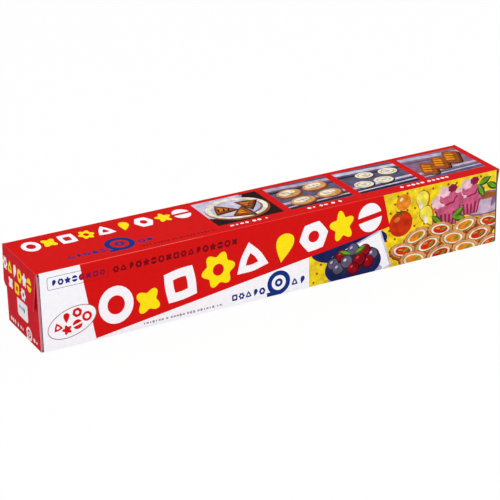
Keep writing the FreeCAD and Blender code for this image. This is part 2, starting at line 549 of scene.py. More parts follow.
MATERIALS = {}
for inks, mottle_of_ink in ((PLAIN_INKS, PLAIN_MOTTLE), (PICTURE_INKS, PICTURE_MOTTLE)):
    for ink_name, ink_colour in inks.items():
        MATERIALS[ink_name] = ink_material("print_" + ink_name, ink_colour, *mottle_of_ink)
for edge_name, edge_colour in RAW_EDGES.items():
    MATERIALS[edge_name] = bare_board("board_" + edge_name, edge_colour)
MATERIALS["inside"] = bare_board("board_inside", RAW_INSIDE, INSIDE_FIBRE)


# Board pieces

SHARP_ANGLE = math.radians(35)


def finish_mesh(name, bm, used):
    """Object made from the mesh, smooth but for its cut edges."""
    bmesh.ops.recalc_face_normals(bm, faces=bm.faces)
    for face in bm.faces:
        face.smooth = True
    for edge in bm.edges:
        edge.smooth = edge.calc_face_angle(0.0) < SHARP_ANGLE
    mesh = bpy.data.meshes.new(name)
    bm.to_mesh(mesh)
    bm.free()
    for key in used:
        mesh.materials.append(MATERIALS[key])
    piece = bpy.data.objects.new(name, mesh)
    bpy.context.scene.collection.objects.link(piece)
    return piece


def body_edge(u, v):
    """Raw edge of the tray at a place. Those at the front of the end walls differ: the right one is
    painted dark grey as shade, the left one pale pink.
    """
    if abs(u) > body_end_x and abs(v - body_front_y) < 1:
        return "shaded_grey_edge" if u > 0 else "pale_edge"
    return "cut_edge"


def board_piece(name, blank, fold, edge_at):
    """Closed sheet of board folded from its blank. edge_at names its raw edges."""
    points, triangles = blank.triangles()
    used = ["inside"] + sorted({ink for face, ink in triangles})
    bm = bmesh.new()
    outer = [bm.verts.new(fold(u, v, 0.0) * MM) for u, v in points]
    inner = [bm.verts.new(fold(u, v, -board) * MM) for u, v in points]
    sides = {}
    for face, ink in triangles:
        printed = bm.faces.new([outer[i] for i in face])
        printed.material_index = used.index(ink)
        bm.faces.new([inner[i] for i in reversed(face)])
        for pair in zip(face, face[1:] + face[:1]):
            key = tuple(sorted(pair))
            sides[key] = sides.get(key, 0) + 1
    for (a, b), count in sides.items():
        if count == 1:
            rim = bm.faces.new([outer[a], outer[b], inner[b], inner[a]])
            edge = edge_at(*(points[a] + points[b]) / 2)
            if edge not in used:
                used.append(edge)
            rim.material_index = used.index(edge)
    loose = [vert for vert in bm.verts if not vert.link_faces]
    bmesh.ops.delete(bm, geom=loose, context="VERTS")
    return finish_mesh(name, bm, used)


# Print on the front flap. u runs from the left end and v down from the top fold.

BAND_LEFT = ((21.8, -0.6), (28.5, 41.2))
BAND_FOOT = ((27.9, 39.6), (190.5, 17.7))
BAND_RIGHT_TOP = (186.5, -0.6)
PICTURE_LEFT = 143.6
FRONT_FOOT = 42.0
# Widths of the dark grey strips painted as shadow at the flap's right and left edges.
RIGHT_SHADE_STRIP = 0.75
LEFT_SHADE_STRIP = 0.2
# How far along the front fold the lighter strip of painted highlight and cracked ink runs.
CREASE_CRACK_AND_HIGHLIGHT_TO = 86.0
DOT_ROWS = 9
DOT_COLUMNS = 23
BIG_MOTIFS = [
    (39.2, 24.7, 18.0, 19.5), (55.8, 26.6, 13.6, 13.6), (73.0, 22.0, 18.4, 18.6),
    (93.4, 19.1, 17.6, 18.2), (111.4, 17.1, 18.0, 17.4), (129.6, 15.9, 16.0, 14.4),
    (146.4, 13.4, 15.4, 15.4), (162.6, 11.4, 13.4, 15.6), (178.8, 10.3, 13.8, 15.6),
]
BAND_SLOPE = -7.7


def band_foot_at(u):
    """v of the red band's lower edge."""
    (u0, v0), (u1, v1) = BAND_FOOT
    return v0 + (v1 - v0) * (u - u0) / (u1 - u0)


def alternating(cells):
    """White and yellow in turn."""
    return [(*cell, ("white", "yellow")[number % 2]) for number, cell in enumerate(cells)]


def front_print():
    """The front flap's print: picture, red band, motifs, badge and small print."""
    foot_u = BAND_LEFT[1][0]
    edge_u = foot_u - 1
    wedge = [(edge_u, band_foot_at(edge_u)), (PICTURE_LEFT, band_foot_at(PICTURE_LEFT))]
    wedge += [(PICTURE_LEFT, FRONT_FOOT), (edge_u, FRONT_FOOT)]
    band = [BAND_LEFT[0], (foot_u - 0.3, band_foot_at(foot_u)), BAND_FOOT[1], BAND_RIGHT_TOP]
    layers = table_picture() + [("white", wedge), ("red", band)]
    layers += motif_row(alternating(BIG_MOTIFS), "red", turn=BAND_SLOPE)
    layers += tiny_motifs(38.1, 104.5, 6.5, 3.8, "maroon", "red", 3)
    layers += [
        ("line_grey", round_box(5.3, 3.0, 36.1, 9.6, 1.2)),
        ("white", round_box(5.6, 3.3, 35.8, 9.3, 1.0)),
        ("red_line", label_right_side(0.0)),
        ("red", label_right_side(0.3)),
    ]
    for number in range(8):
        ink, ground = ("navy", "white") if number < 4 else ("plum", "red")
        u = 8.6 + 3.5 * number
        layers += tiny_motifs(u - 1.7, u + 1.7, 6.4, 3.4, ink, ground, number + 5)
    layers += badge(16.6, 28.0)
    layers += small_print(52.5, 37.0, 96.7, 39.0, "line_grey", 1.6, 8)
    layers += tiny_motifs(100.0, 119.0, 36.0, 3.9, "navy", "white", 11)
    layers += roll_mark(126.4, 33.6, 6.4)
    return layers + tiny_motifs(133.2, 141.8, 35.2, 4.3, "navy", "white", 13)


def band_left_at(v):
    """u of the red band's slanted left edge."""
    (u0, v0), (u1, v1) = BAND_LEFT
    return u0 + (u1 - u0) * (v - v0) / (v1 - v0)


def label_right_side(inset):
    """The part of the rounded label box that lies on the red band."""
    top, foot, right = 3.0 + inset, 9.6 - inset, 36.1 - inset
    return [
        (band_left_at(top), top), (right - 0.7, top), (right, top + 0.7), (right, foot - 0.7),
        (right - 0.7, foot), (band_left_at(foot), foot),
    ]


BADGE_TURN = -16
BADGE_MOTIFS = [
    (-7.4, -0.9, 4.7), (-2.0, -3.2, 5.0), (3.8, -3.3, 4.8), (-3.6, 2.6, 4.8), (2.0, 2.5, 5.0),
    (7.6, 0.9, 5.0),
]


def badge(u, v):
    """Slanted oval badge with a thin outline and two rows of plain red motifs."""
    cells = []
    for along, across, size in BADGE_MOTIFS:
        place = placed([(along, across)], u, v, turn=BADGE_TURN)[0]
        cells.append((*place, size, size, "red"))
    layers = [
        ("badge_line", oval(u, v, 12.9, 7.3, BADGE_TURN, 40)),
        ("white", oval(u, v, 12.5, 6.9, BADGE_TURN, 40)),
    ]
    return layers + motif_row(cells, "white", 4, BADGE_TURN)


def roll_mark(u, v, size, ground="white", ink="navy"):
    """Plain sign of a roll seen from its end, with the sheet leaving it."""
    return [
        (ink, oval(u, v, size, size, 0, 32)),
        (ink, box(u - size * 1.05, v + size * 0.66, u + size * 0.2, v + size)),
        (ground, oval(u, v, size * 0.62, size * 0.62)), (ink, oval(u, v, size * 0.34, size * 0.34)),
        (ground, oval(u, v, size * 0.14, size * 0.14, 0, 12)),
    ]


# The picture of fruit, biscuits and a cup on a yellow cloth


def ball(u, v, size, dark, body, light):
    """Round fruit with a shaded side and a highlight."""
    return [
        (dark, oval(u, v, size, size)),
        (body, oval(u - size * 0.08, v - size * 0.1, size * 0.84, size * 0.82)),
        (light, oval(u - size * 0.32, v - size * 0.38, size * 0.26, size * 0.18, -30, 12)),
    ]


BERRIES = [
    (-11.5, -1.0, 3.4), (11.5, -1.5, 3.4), (-6.5, -4.5, 3.5), (6.8, -4.7, 3.5), (0.0, -6.4, 3.6),
    (-8.6, 2.2, 3.5), (8.8, 2.0, 3.5), (-3.6, -0.4, 3.8), (3.8, -0.2, 3.8), (0.2, 3.8, 3.5),
]


def berry_bowl(u, v):
    """Blue bowl heaped with red and blue berries, on a pale napkin."""
    layers = [
        ("dish_blue", oval(u - 2, v - 9, 22, 8, 0, 40)),
        ("dish_light", placed(box(-15, -11, 15, 11), u + 5, v + 1, turn=-17)),
        ("white", placed(box(-14, -10, 14, 10), u + 5, v + 1, turn=-17)),
        ("steel_light", oval(u + 1, v + 7.0, 16, 4, 0, 32)),
        ("dish_blue", oval(u, v + 2, 16.4, 9.4, 0, 40)),
        ("steel_dark", oval(u, v - 1, 15.4, 6.6, 0, 40)),
    ]
    for number, (du, dv, size) in enumerate(BERRIES):
        inks = ("berry_dark", "berry", "berry_light")
        if number % 3 == 1 or number in (0, 5):
            inks = ("steel_dark", "steel", "dish_light")
        layers += ball(u + du, v + dv, size, *inks)
    for du, turn in ((-4.6, 24), (4.0, -28)):
        layers.append(("leaf_dark", leaf(u + du, v - 5.4, 8.4, 3.0, turn)))
        layers.append(("leaf", leaf(u + du, v - 5.8, 7.2, 1.7, turn)))
    return layers


def cupcake(u, v, wide, tall):
    """Bun in a pleated pink cup, with rounds of pale and dark pink on top."""
    half = wide / 2
    cup = [(-half, 0), (half, 0), (half * 0.7, tall * 0.5), (-half * 0.7, tall * 0.5)]
    layers = [("pink_dark", placed(cup, u, v))]
    for pleat in range(-2, 3):
        top, foot = pleat * wide * 0.19, pleat * wide * 0.135
        a, b, low = wide * 0.05, wide * 0.035, tall * 0.48
        strip = [(top - a, 0.3), (top + a, 0.3), (foot + b, low), (foot - b, low)]
        layers.append(("pink", placed(strip, u, v)))
    layers.append(("pink", placed(petals(9, 0.06), u, v - tall * 0.1, half * 1.2, tall * 0.3)))
    rounds = [
        ("pink_light", -0.34, -0.2, 0.32), ("pink", 0.34, -0.18, 0.32),
        ("pink_dark", 0.04, -0.26, 0.36), ("pink", 0.0, -0.3, 0.36),
        ("pink_light", -0.12, -0.44, 0.26), ("pink_dark", 0.2, -0.5, 0.2),
    ]
    for ink, du, dv, size in rounds:
        place = (u + du * wide, v + dv * tall)
        layers.append((ink, placed(petals(7, 0.08), *place, size * wide, size * wide * 0.8)))
    return layers


def biscuit(u, v, wide, high, turn, jam):
    """Toasted biscuit with a round of jam and a small leaf."""
    rim = petals(14, 0.035)
    return [
        ("crust", placed(rim, u + 0.2, v + 0.9, wide * 1.04, high * 1.04, turn)),
        ("toast_dark", placed(rim, u, v + 0.3, wide, high, turn)),
        ("toast", placed(rim, u, v - 0.2, wide * 0.9, high * 0.84, turn)),
        ("toast_dark", oval(u, v + 0.2, wide * 0.7, high * 0.68, turn)),
        ("cream", oval(u, v, wide * 0.66, high * 0.6, turn)),
        (jam, oval(u, v, wide * 0.52, high * 0.46, turn)),
        ("tomato_light", oval(u - wide * 0.18, v - high * 0.16, wide * 0.16, high * 0.1, turn, 12)),
        ("leaf", leaf(u + wide * 0.2, v - high * 0.02, wide * 0.5, high * 0.3, turn - 35)),
    ]


def tea_cup(u, v, size):
    """Pale lilac cup on its saucer."""
    bowl = [(-1, 0), (1, 0), (0.8, 0.6), (0.4, 0.95), (-0.4, 0.95), (-0.8, 0.6)]
    shade = [(0.45, 0.1), (0.92, 0.1), (0.75, 0.6), (0.35, 0.92)]
    return [
        ("lilac_dark", oval(u, v + size * 0.98, size * 1.5, size * 0.4, 0, 32)),
        ("lilac", oval(u, v + size * 0.9, size * 1.44, size * 0.34, 0, 32)),
        ("lilac", oval(u + size * 1.05, v + size * 0.35, size * 0.36, size * 0.34)),
        ("cloth_pale", oval(u + size * 1.05, v + size * 0.35, size * 0.2, size * 0.18)),
        ("lilac", placed(bowl, u, v, size, size)), ("lilac_dark", placed(shade, u, v, size, size)),
        ("lilac_dark", oval(u, v, size, size * 0.28, 0, 28)),
        ("toast_dark", oval(u, v + size * 0.04, size * 0.86, size * 0.2, 0, 28)),
    ]


def cloth_dots():
    """Small dots over the cloth, in staggered rows."""
    layers = []
    draw = random.Random(21)
    for row in range(DOT_ROWS):
        for column in range(DOT_COLUMNS):
            u = PICTURE_LEFT + 2 + 5 * column + 2.5 * (row % 2) + draw.uniform(-0.5, 0.5)
            v = 2 + 4.6 * row + draw.uniform(-0.4, 0.4)
            ink = "cloth_dot" if (row + column) % 3 else "cloth_pale"
            layers.append((ink, oval(u, v, 0.75, 0.6, draw.uniform(0, 90), 10)))
    return layers


def table_picture():
    """All of the front's picture, from the back of the table to its front edge."""
    layers = [("cloth", box(PICTURE_LEFT - 1, -1, length + 1, FRONT_FOOT))]
    layers += cloth_dots()
    layers += berry_bowl(169.0, 32.0)
    layers += ball(197.0, 17.6, 7.0, "tomato", "tomato", "tomato_light")
    layers += [("leaf_dark", placed(petals(5, 0.4), 196.6, 11.6, 3.2, 1.9))]
    layers += ball(198.5, 6.2, 4.4, "tomato_light", "orange", "cream")
    for u, v, turn in ((210.0, 8.6, 82), (213.0, 17.0, 64)):
        layers += [
            ("lemon_shade", drop(u + 0.5, v + 0.7, 14.4, turn)),
            ("cloth_pale", drop(u, v, 12.2, turn)), ("lemon", drop(u + 0.3, v + 0.3, 10.6, turn)),
            ("cream", oval(u - 1.2, v + 1.4, 1.2, 2.4, -12, 14)),
        ]
    layers += tea_cup(249.0, 12.6, 8.0)
    layers += cupcake(238.4, 12.2, 14.5, 18.0)
    layers += cupcake(225.0, 14.6, 15.0, 20.0)
    leaves = [
        (247.5, 4.6, -24), (252.5, 8.0, 30), (245.6, 9.6, 62), (231.6, 18.6, -34),
        (232.2, 21.8, 12), (218.8, 20.4, 40),
    ]
    for u, v, turn in leaves:
        layers.append(("leaf_dark", leaf(u, v, 9.0, 4.0, turn)))
        layers.append(("leaf", leaf(u - 0.2, v - 0.3, 8.0, 2.2, turn)))
    biscuits = [
        (206.5, 26.6, 8.6, 4.6, -18, "orange"), (221.0, 25.8, 8.6, 4.6, 8, "tomato"),
        (236.0, 26.6, 8.6, 4.6, -10, "orange"), (251.0, 27.4, 8.6, 4.6, 12, "tomato"),
        (198.5, 32.8, 8.8, 4.8, 12, "tomato"), (213.6, 32.6, 9.0, 5.0, -12, "tomato"),
        (229.0, 32.4, 9.0, 5.0, 10, "orange"), (244.6, 33.4, 9.0, 5.0, -8, "tomato"),
        (205.0, 39.0, 9.4, 5.2, 8, "orange"), (221.0, 39.2, 9.4, 5.2, -10, "tomato"),
        (236.6, 39.4, 9.4, 5.2, 6, "orange"), (252.0, 40.0, 9.0, 5.2, -12, "tomato"),
    ]
    for place in biscuits:
        layers += biscuit(*place)
    return layers


# Print on the top panel. u runs from the left end and v from the back fold.

TOP_MOTIFS_U = [10.4, 19.6, 28.9, 38.7, 48.4, 58.6, 69.0, 79.6, 89.4]
TOP_MOTIFS_V = 10.8
TILES = [(98.0, 134.1), (138.3, 174.0), (178.5, 213.7), (217.8, 253.1)]
TILE_BACK, TILE_FRONT = 3.6, 34.0
TILE_MARGIN = 3.5


def tray_ground(u0, u1, ground, light, dark):
    """A tile's metal tray: a ground with slanted bands of light and shade."""
    high = TILE_FRONT - TILE_BACK
    layers = [(ground, box(u0, TILE_BACK, u1, TILE_FRONT))]
    bands = [
        (light, 0.02, 0.14, 0.10, 0.20), (dark, 0.20, 0.27, 0.27, 0.32),
        (light, 0.70, 0.78, 0.66, 0.73), (dark, 0.84, 1.00, 0.78, 0.97),
        (light, 0.88, 0.92, 0.83, 0.88),
    ]
    for ink, *shares in bands:
        left0, left1, right0, right1 = (TILE_BACK + share * high for share in shares)
        layers.append((ink, [(u0, left0), (u1, right0), (u1, right1), (u0, left1)]))
    return layers


def pie_tile(u0, u1):
    """Three browned wedges on a cream plate in a dark pan."""
    u, v = (u0 + u1) / 2, (TILE_BACK + TILE_FRONT) / 2
    napkin = [(u0, TILE_BACK), (u0 + 27, TILE_BACK), (u0 + 10, v + 8), (u0, v + 5)]
    layers = [
        ("char", box(u0, TILE_BACK, u1, TILE_FRONT)), ("steel_light", placed(napkin, 1.2, 0.9)),
        ("dish_light", napkin), ("toast_dark", oval(u, v + 0.6, 16.8, 13.4, 0, 40)),
        ("cream", oval(u, v - 0.6, 16.2, 12.6, 0, 40)),
        ("lilac_dark", oval(u, v - 0.2, 13.6, 10.2, 0, 40)),
        ("dish_light", oval(u - 0.4, v - 0.8, 13.0, 9.4, 0, 40)),
    ]
    wedge = soft_polygon(3, 0.12)
    for du, dv, turn in ((-7.0, -1.8, 20), (7.0, -3.2, 100), (0.8, 5.2, -70)):
        a, b = u + du, v + dv
        layers += [
            ("char", placed(wedge, a + 0.3, b + 0.9, 8.4, 7.2, turn)),
            ("crust", placed(wedge, a, b + 0.2, 8.0, 6.8, turn)),
            ("toast_dark", placed(wedge, a, b, 6.4, 5.2, turn)),
            ("orange", placed(wedge, a - 0.6, b - 0.5, 3.6, 2.8, turn)),
        ]
        for along in (-2.2, 0.4, 2.8):
            place = placed([(along, 0.4)], a, b, turn=turn)[0]
            layers.append(("char", oval(*place, 0.5, 1.9, turn, 10)))
    return layers


def roll_tile(u0, u1):
    """Four pale bread rolls on a tray."""
    layers = tray_ground(u0, u1, "steel", "lilac", "steel_dark")
    for du, dv in ((9.0, 12.5), (25.0, 10.5), (11.0, 24.0), (27.0, 22.0)):
        u, v = u0 + du, TILE_BACK + dv - 1.5
        layers += [
            ("crust", oval(u + 0.2, v + 1.0, 7.6, 5.3, -12)),
            ("toast_dark", oval(u, v + 0.5, 7.4, 5.0, -12)), ("toast", oval(u, v, 6.9, 4.5, -12)),
            ("cream", oval(u - 0.5, v - 0.7, 4.8, 2.6, -12)),
        ]
        for slash in (-2.4, 0.0, 2.4):
            layers.append(("toast_dark", leaf(u + slash, v - 0.5, 3.6, 0.6, 58)))
        layers.append(("leaf_dark", leaf(u + 1.2, v + 1.2, 1.8, 0.7, -20)))
    return layers


def onion_tile(u0, u1):
    """White onion rings and slices on a dark tray."""
    layers = tray_ground(u0, u1, "steel", "dish_light", "steel_dark")
    onions = [(7.5, 21.0, 5.4), (14.0, 10.4, 5.0), (19.6, 20.4, 5.4), (27.5, 11.4, 5.4)]
    for du, dv, size in onions:
        u, v = u0 + du, TILE_BACK + dv - 1.0
        layers += [
            ("steel_dark", oval(u + 0.3, v + 0.8, size * 1.04, size * 0.8)),
            ("cream", oval(u, v, size, size * 0.76)),
            ("toast", oval(u, v, size * 0.72, size * 0.52)),
            ("cream", oval(u, v, size * 0.6, size * 0.42)),
            ("steel_light", oval(u, v, size * 0.3, size * 0.2, 0, 14)),
        ]
    return layers


def bar_tile(u0, u1):
    """Browned bars on a light tray."""
    layers = tray_ground(u0, u1, "lilac_dark", "steel_light", "steel")
    slab = round_box(-4.4, -8.6, 4.4, 8.6, 2.8)
    for du, dv in ((8.0, 18.0), (17.6, 14.0), (27.2, 10.0)):
        u, v = u0 + du, TILE_BACK + dv
        layers += [
            ("char", placed(slab, u + 1.0, v + 1.3, turn=24)),
            ("crust", placed(slab, u + 0.5, v + 0.7, turn=24)),
            ("toast_dark", placed(slab, u, v, 0.92, 0.94, 24)),
            ("orange", placed(slab, u - 0.4, v - 0.4, 0.5, 0.7, 24)),
        ]
        for band in (-5.0, -1.7, 1.7, 5.0):
            place = placed([(0, band)], u, v, turn=24)[0]
            layers.append(("crust", leaf(*place, 7.0, 1.2, 24)))
    return layers


def top_print():
    """The top panel's print: motif row, marks and four picture tiles."""
    cells = []
    for number, u in enumerate(TOP_MOTIFS_U):
        size = 8.0 if number % 2 else 9.2
        cells.append((u, TOP_MOTIFS_V, size, size * 1.25))
    layers = motif_row(alternating(cells), "red")
    layers += tiny_motifs(19.7, 40.0, 32.0, 4.0, "navy", "red", 31)
    layers += roll_mark(48.0, 28.8, 7.4, "red")
    layers += tiny_motifs(56.6, 64.6, 31.0, 4.2, "navy", "red", 33)
    layers += small_print(56.0, 36.1, 96.3, 37.9, "maroon", 1.7, 35)
    makers = (pie_tile, roll_tile, onion_tile, bar_tile)
    for maker, (u0, u1) in zip(makers, TILES):
        layers += maker(u0, u1)
        layers += tile_margin(u0, u1)
    for u0, u1, seed in ((102.5, 125.8, 41), (145.3, 166.6, 43), (199.0, 230.5, 45)):
        layers += small_print(u0, 35.4, u1, 38.1, "white", 2.7, seed)
    return layers


def tile_margin(u0, u1):
    """Red all round a tile, over what of its picture runs past the edges."""
    past = TILE_MARGIN
    return [
        ("red", box(u0 - past, TILE_BACK - past, u1 + past, TILE_BACK)),
        ("red", box(u0 - past, TILE_FRONT, u1 + past, TILE_FRONT + past * 0.3)),
        ("red", box(u0 - past, TILE_BACK, u0, TILE_FRONT)),
        ("red", box(u1, TILE_BACK, u1 + past, TILE_FRONT)),
    ]


# Print on the ends. u runs from the back and v down from the top fold.

END_MOTIF_PITCH = 6.0


def end_flap_print():
    """Two rows of small motifs."""
    upper = [(3.0 + END_MOTIF_PITCH * n, 8.8, 5.4, 7.0) for n in range(6)]
    lower = [(9.4 + 7.8 * n, 16.7, 6.0, 6.4) for n in range(3)]
    # The motifs' ground is the cooler red that paints the shade of the ends.
    layers = motif_row(alternating(upper), "end_red", start=3)
    return layers + motif_row(alternating(lower), "end_red", start=1)


def end_wall_print():
    """White label and the plain white marks along the foot."""
    layers = [("white", round_box(13.2, 21.8, 26.0, 31.8, 1.6))]
    layers += small_print(15.0, 24.6, 24.4, 28.6, "navy", 2.6, 51)
    layers += small_print(2.6, 36.2, 21.2, 39.4, "white", 2.4, 57)
    layers += small_print(30.8, 36.3, 37.2, 39.3, "white", 3.1, 55)
    return layers + roll_mark(26.2, 36.9, 3.5, "end_red", "white")


# Print on the back, seen from behind. u runs from its left and v down from the top.


def back_print():
    """Motif row and white panel with lines of tiny marks."""
    cells = [(15.0 + 12.2 * n, 14.5, 10.4, 11.6) for n in range(9)]
    layers = motif_row(alternating(cells), "red", start=5)
    layers += tiny_motifs(9.6, 118.0, 27.0, 3.6, "maroon", "red", 2)
    layers += small_print(9.6, 31.6, 96.0, 33.6, "white", 1.8, 61)
    layers += [("white", round_box(128.0, 6.0, 247.0, 36.0, 1.6))]
    lines = ((10.0, 238.0), (14.6, 214.0), (18.4, 220.0), (22.2, 206.0), (26.0, 218.0))
    for number, (v, end) in enumerate(lines):
        ink = "navy" if number == 0 else "line_grey"
        layers += small_print(133.0, v - 1.1, end, v + 1.1, ink, 1.8, 63 + number)
    layers += tiny_motifs(133.0, 190.0, 31.4, 3.8, "red", "white", 6)
    return layers + roll_mark(234.0, 25.0, 7.0)


# The pieces of the blank


def lid_blank():
    """Top panel and front flap in one, with a relief hole at the flap's upper corners."""
    left = CREASE_ZONE
    right = length - left
    flap_left = end_x - flap_end_x
    flap_right = length - flap_left
    foot = depth + flap_foot
    relief_v = depth + 0.1
    bite = math.acos((flap_left - left) / RELIEF_RADIUS)
    relief = []
    for step in range(RELIEF_STEPS + 1):
        angle = -math.pi / 2 + (math.pi / 2 + bite) * step / RELIEF_STEPS
        across = RELIEF_RADIUS * math.cos(angle)
        relief.append((left + across, relief_v + RELIEF_RADIUS * math.sin(angle)))
    corner = []
    for step in range(CORNER_STEPS + 1):
        angle = math.pi / 2 * step / CORNER_STEPS
        u = flap_left + FLAP_CORNER * (1 - math.cos(angle))
        corner.append((u, foot - FLAP_CORNER * (1 - math.sin(angle))))
    half = [(left, CREASE_ZONE)] + relief + corner
    mirrored = [(length - u, v) for u, v in reversed(half)]
    blank = Blank(half + mirrored, "red")
    across_crease(blank, depth, CREASE_RADIUS, flap_left, flap_right)
    blank.grid(left, CREASE_ZONE, right, depth - CREASE_ZONE)
    blank.grid(flap_left, depth + CREASE_ZONE, flap_right, foot)
    blank.add_all(top_print())
    blank.add("white", box(flap_left - 0.6, depth - 0.1, PICTURE_LEFT, foot + 1))
    blank.add_all(front_print(), (0.0, depth))
    # Thin dark grey strips at the flap's side edges: painted shadow of the gaps beside the flap.
    blank.add("edge_grey", box(flap_right - RIGHT_SHADE_STRIP, depth - 1, flap_right + 1, foot + 1))
    blank.add("edge_grey", box(flap_left - 1, depth + 1, flap_left + LEFT_SHADE_STRIP, foot + 1))
    blank.add("red", box(-1, depth - 1.2, length + 1, depth - 0.1))
    # Lighter strips along the front fold: painted highlight of the rounded fold, partly cracked
    # ink.
    back, front = depth - LID_CREASE[0], depth - LID_CREASE[1]
    blank.add("crease_soft", box(left, back, right, front))
    blank.add("crease_red", box(BAND_LEFT[0][0], back, CREASE_CRACK_AND_HIGHLIGHT_TO, front))
    return blank


def end_flap_blank(mirrored):
    """Tapered flap with the fold it hangs from. Its print reads from left to right."""
    near, far = CUT_GAP, depth - CUT_GAP
    foot = END_FLAP_DROP
    fold_foot = CREASE_RADIUS + CUT_GAP
    back_cut = (near, foot - END_FLAP_BACK_CUT)
    outline = [(near, -CREASE_ZONE), back_cut]
    outline += arc_between(back_cut, (END_FLAP_BACK_CUT, foot), END_FLAP_CORNER)
    front_foot = depth - END_FLAP_FRONT_FOOT
    front_top = depth - END_FLAP_FRONT_TOP
    outline += [
        (front_foot - 1.0, foot), (front_foot - 0.45, foot - 0.1), (front_foot - 0.05, foot - 0.4),
        (front_foot + 0.2, foot - 1.0), (front_top, fold_foot), (far, CREASE_RADIUS * 0.6),
        (far, -CREASE_ZONE),
    ]
    # The flap is printed in a cooler, deeper copy of the red as painted shade of the end face; its
    # strip over the fold keeps the top's red.
    blank = Blank(outline, "end_red")
    across_crease(blank, 0.0, CREASE_RADIUS, near, far)
    blank.grid(near, CREASE_ZONE, front_foot, foot)
    blank.add("red", box(-1, -CREASE_ZONE - 1, depth + 1, 0.0))
    for ink, outline in end_flap_print():
        if mirrored:
            outline = [(depth - u, v) for u, v in outline]
        blank.add(ink, outline)
    # Lighter strip along the fold: painted highlight of the fold, partly cracked ink.
    blank.add("crease_soft", box(near, -0.16, far, 0.12))
    return blank


def arc_between(start, end, radius):
    """Points that round the two ends of a slanted cut."""
    (u0, v0), (u1, v1) = start, end
    points = []
    for share in (0.15, 0.5, 0.85):
        lift = radius * 0.12 * math.sin(math.pi * share)
        points.append((u0 + (u1 - u0) * share - lift, v0 + (v1 - v0) * share + lift))
    points.append(end)
    return points


def back_strip_blank():
    """The strip of the blank over the lid's hinge."""
    near, far = CREASE_ZONE, length - CREASE_ZONE
    blank = Blank(box(near, -CREASE_ZONE, far, CREASE_ZONE), "red")
    across_crease(blank, 0.0, CREASE_RADIUS, near, far)
    for step in range(1, BACK_STRIP_COLUMNS):
        u = near + (far - near) * step / BACK_STRIP_COLUMNS
        blank.line((u, -CREASE_ZONE), (u, CREASE_ZONE))
    # Lighter strip along the hinge fold: painted highlight of the fold, partly cracked ink.
    blank.add("crease_red", box(near, -0.12, far, 0.16))
    return blank


def body_blank():
    """Bottom with its four walls, and a dust flap at each end of the long walls."""
    radius = BODY_CREASE_RADIUS
    wall_fold = body_end_x - board
    inner, outer = wall_fold - radius, wall_fold + radius
    front_edge = body_front_y - FRONT_WALL_TOP
    back_edge = back_y + top_z - CREASE_ZONE
    end_edge = body_end_x + END_WALL_TOP
    slit = radius + CUT_GAP
    flap_reach = wall_fold + DUST_FLAP_REACH

    def dust_flap(fold_v, outward, wall_end):
        foot = fold_v + outward * DUST_FLAP_FOOT
        return [
            (inner, fold_v - outward * slit), (inner, foot), (outer, foot + outward * 0.2),
            (flap_reach, foot + outward * DUST_FLAP_TAPER),
            (flap_reach, fold_v + outward * (DUST_FLAP_TOP - DUST_FLAP_TAPER)),
            (outer, fold_v + outward * DUST_FLAP_TOP),
            (wall_fold - radius * 0.4, wall_end - outward * 0.5), (inner, wall_end),
        ]

    back_part = dust_flap(back_y, 1, back_edge)
    front_part = dust_flap(body_front_y, -1, front_edge)
    end_part = [
        (body_end_x - radius, body_front_y + slit), (body_end_x + radius, body_front_y + 0.02),
        (end_edge, body_front_y + 0.02), (end_edge, back_y - 0.02),
        (body_end_x + radius, back_y - 0.02), (body_end_x - radius, back_y - slit),
    ]
    right = list(reversed(front_part)) + end_part + back_part
    left = [(-u, v) for u, v in reversed(right)]
    blank = Blank(right + left, "red")
    for fold_v in (body_front_y, back_y):
        across_crease(blank, fold_v, radius, -inner, inner)
    for side in (-1, 1):
        across_crease(blank, side * body_end_x, radius, body_front_y + slit, back_y - slit, True)
        for fold_v, outward in ((body_front_y, -1), (back_y, 1)):
            start = fold_v + outward * (DUST_FLAP_FOOT + 0.25)
            end = fold_v + outward * DUST_FLAP_TOP
            across_crease(blank, side * wall_fold, radius, start, end, True)
    blank.grid(-inner, front_edge, inner, back_edge)
    far_u, front_v = flap_reach + 1, front_edge - 1
    blank.add("white", box(-far_u, front_v, far_u, body_front_y - 0.2))
    # Dark grey strip at the front wall's right end: painted shadow beside the flap's right edge.
    blank.add("edge_grey", box(wall_fold - 1.2, front_v, outer, body_front_y - 1))
    for low, high in ((-far_u, -outer), (outer, far_u)):
        blank.add("white", box(low, back_y + 0.9, high, back_edge))
    blank.add("crease_pale", box(-outer, front_v, 1.2 - wall_fold, body_front_y - 1))
    # The end walls get the same cooler copy of the red, as painted shade of the ends.
    for low, high in ((-end_edge - 1, -body_end_x), (body_end_x, end_edge + 1)):
        blank.add("end_red", box(low, body_front_y, high, back_y))
    for ink, outline in end_wall_print():
        for side in (-1, 1):
            moved = []
            for u, v in outline:
                across = back_y - u if side < 0 else front_y + u
                moved.append((side * (body_end_x + top_z - v), across))
            blank.add(ink, moved)
    for ink, outline in back_print():
        blank.add(ink, [(end_x - u, back_y + top_z - v) for u, v in outline])
    return blank


def make_board():
    """All the board pieces; the tray goes on the carton's body."""
    # The lid's raw edges: grey board core, painted darker still as shade.
    lid = board_piece("lid_board", lid_blank(), fold_lid, lambda u, v: "shaded_grey_edge")
    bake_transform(lid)
    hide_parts("lid_top", "lid_front_flap")
    for side, name in ((-1, "left"), (1, "right")):
        flap_blank, fold = end_flap_blank(side > 0), fold_end_flap(side)
        flap = board_piece(f"end_flap_board_{name}", flap_blank, fold, lambda u, v: "stained_edge")
        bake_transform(flap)
        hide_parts(f"lid_end_flap_{name}")
    strip_blank = back_strip_blank()
    strip = board_piece("back_fold_board", strip_blank, fold_back_strip, lambda u, v: "cut_edge")
    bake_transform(strip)
    body = board_piece("carton_body_board", body_blank(), fold_body, body_edge)
    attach(body, "carton")
    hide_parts("carton_body")


make_board()

# Foil, core and blade

